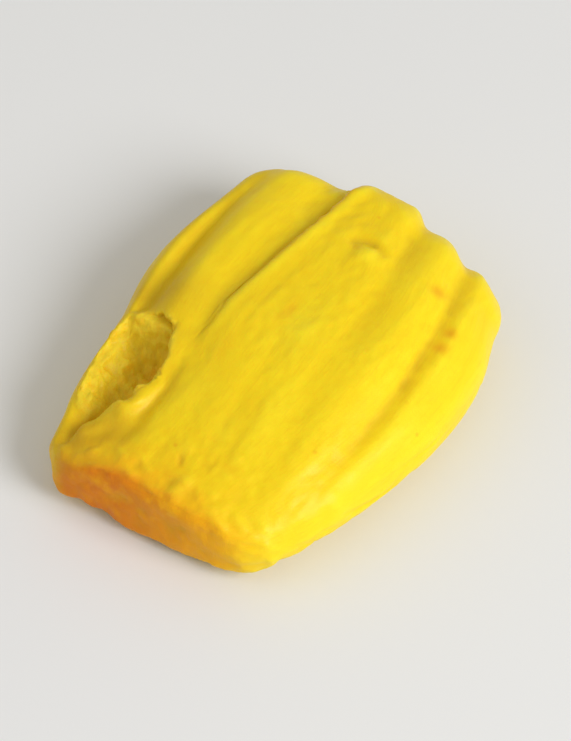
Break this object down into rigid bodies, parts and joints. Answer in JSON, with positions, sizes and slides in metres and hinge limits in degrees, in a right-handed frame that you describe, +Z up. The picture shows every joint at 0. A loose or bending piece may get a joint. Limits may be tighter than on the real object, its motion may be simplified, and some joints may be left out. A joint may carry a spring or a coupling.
{
  "type": "dried jackfruit chip",
  "caption": "Crisp dried jackfruit pod, flattened and ribbed, seed taken out through a torn slit down its side, with a straight cut end and a rounded, lobed tip.",
  "frame": {"origin": "centre of the chip's bounding box at the level of its resting face", "axes": "+Z up from the resting face, +Y along the ribs from the cut end to the rounded tip, -X towards the seed slit"},
  "size_m": [0.041, 0.0536, 0.0145],
  "materials": {
    "flesh": "golden yellow fried flesh with a low, oily shine"
  },
  "bodies": {
    "root": {"jackfruit_chip": "flesh"}
  },
  "joints": []
}
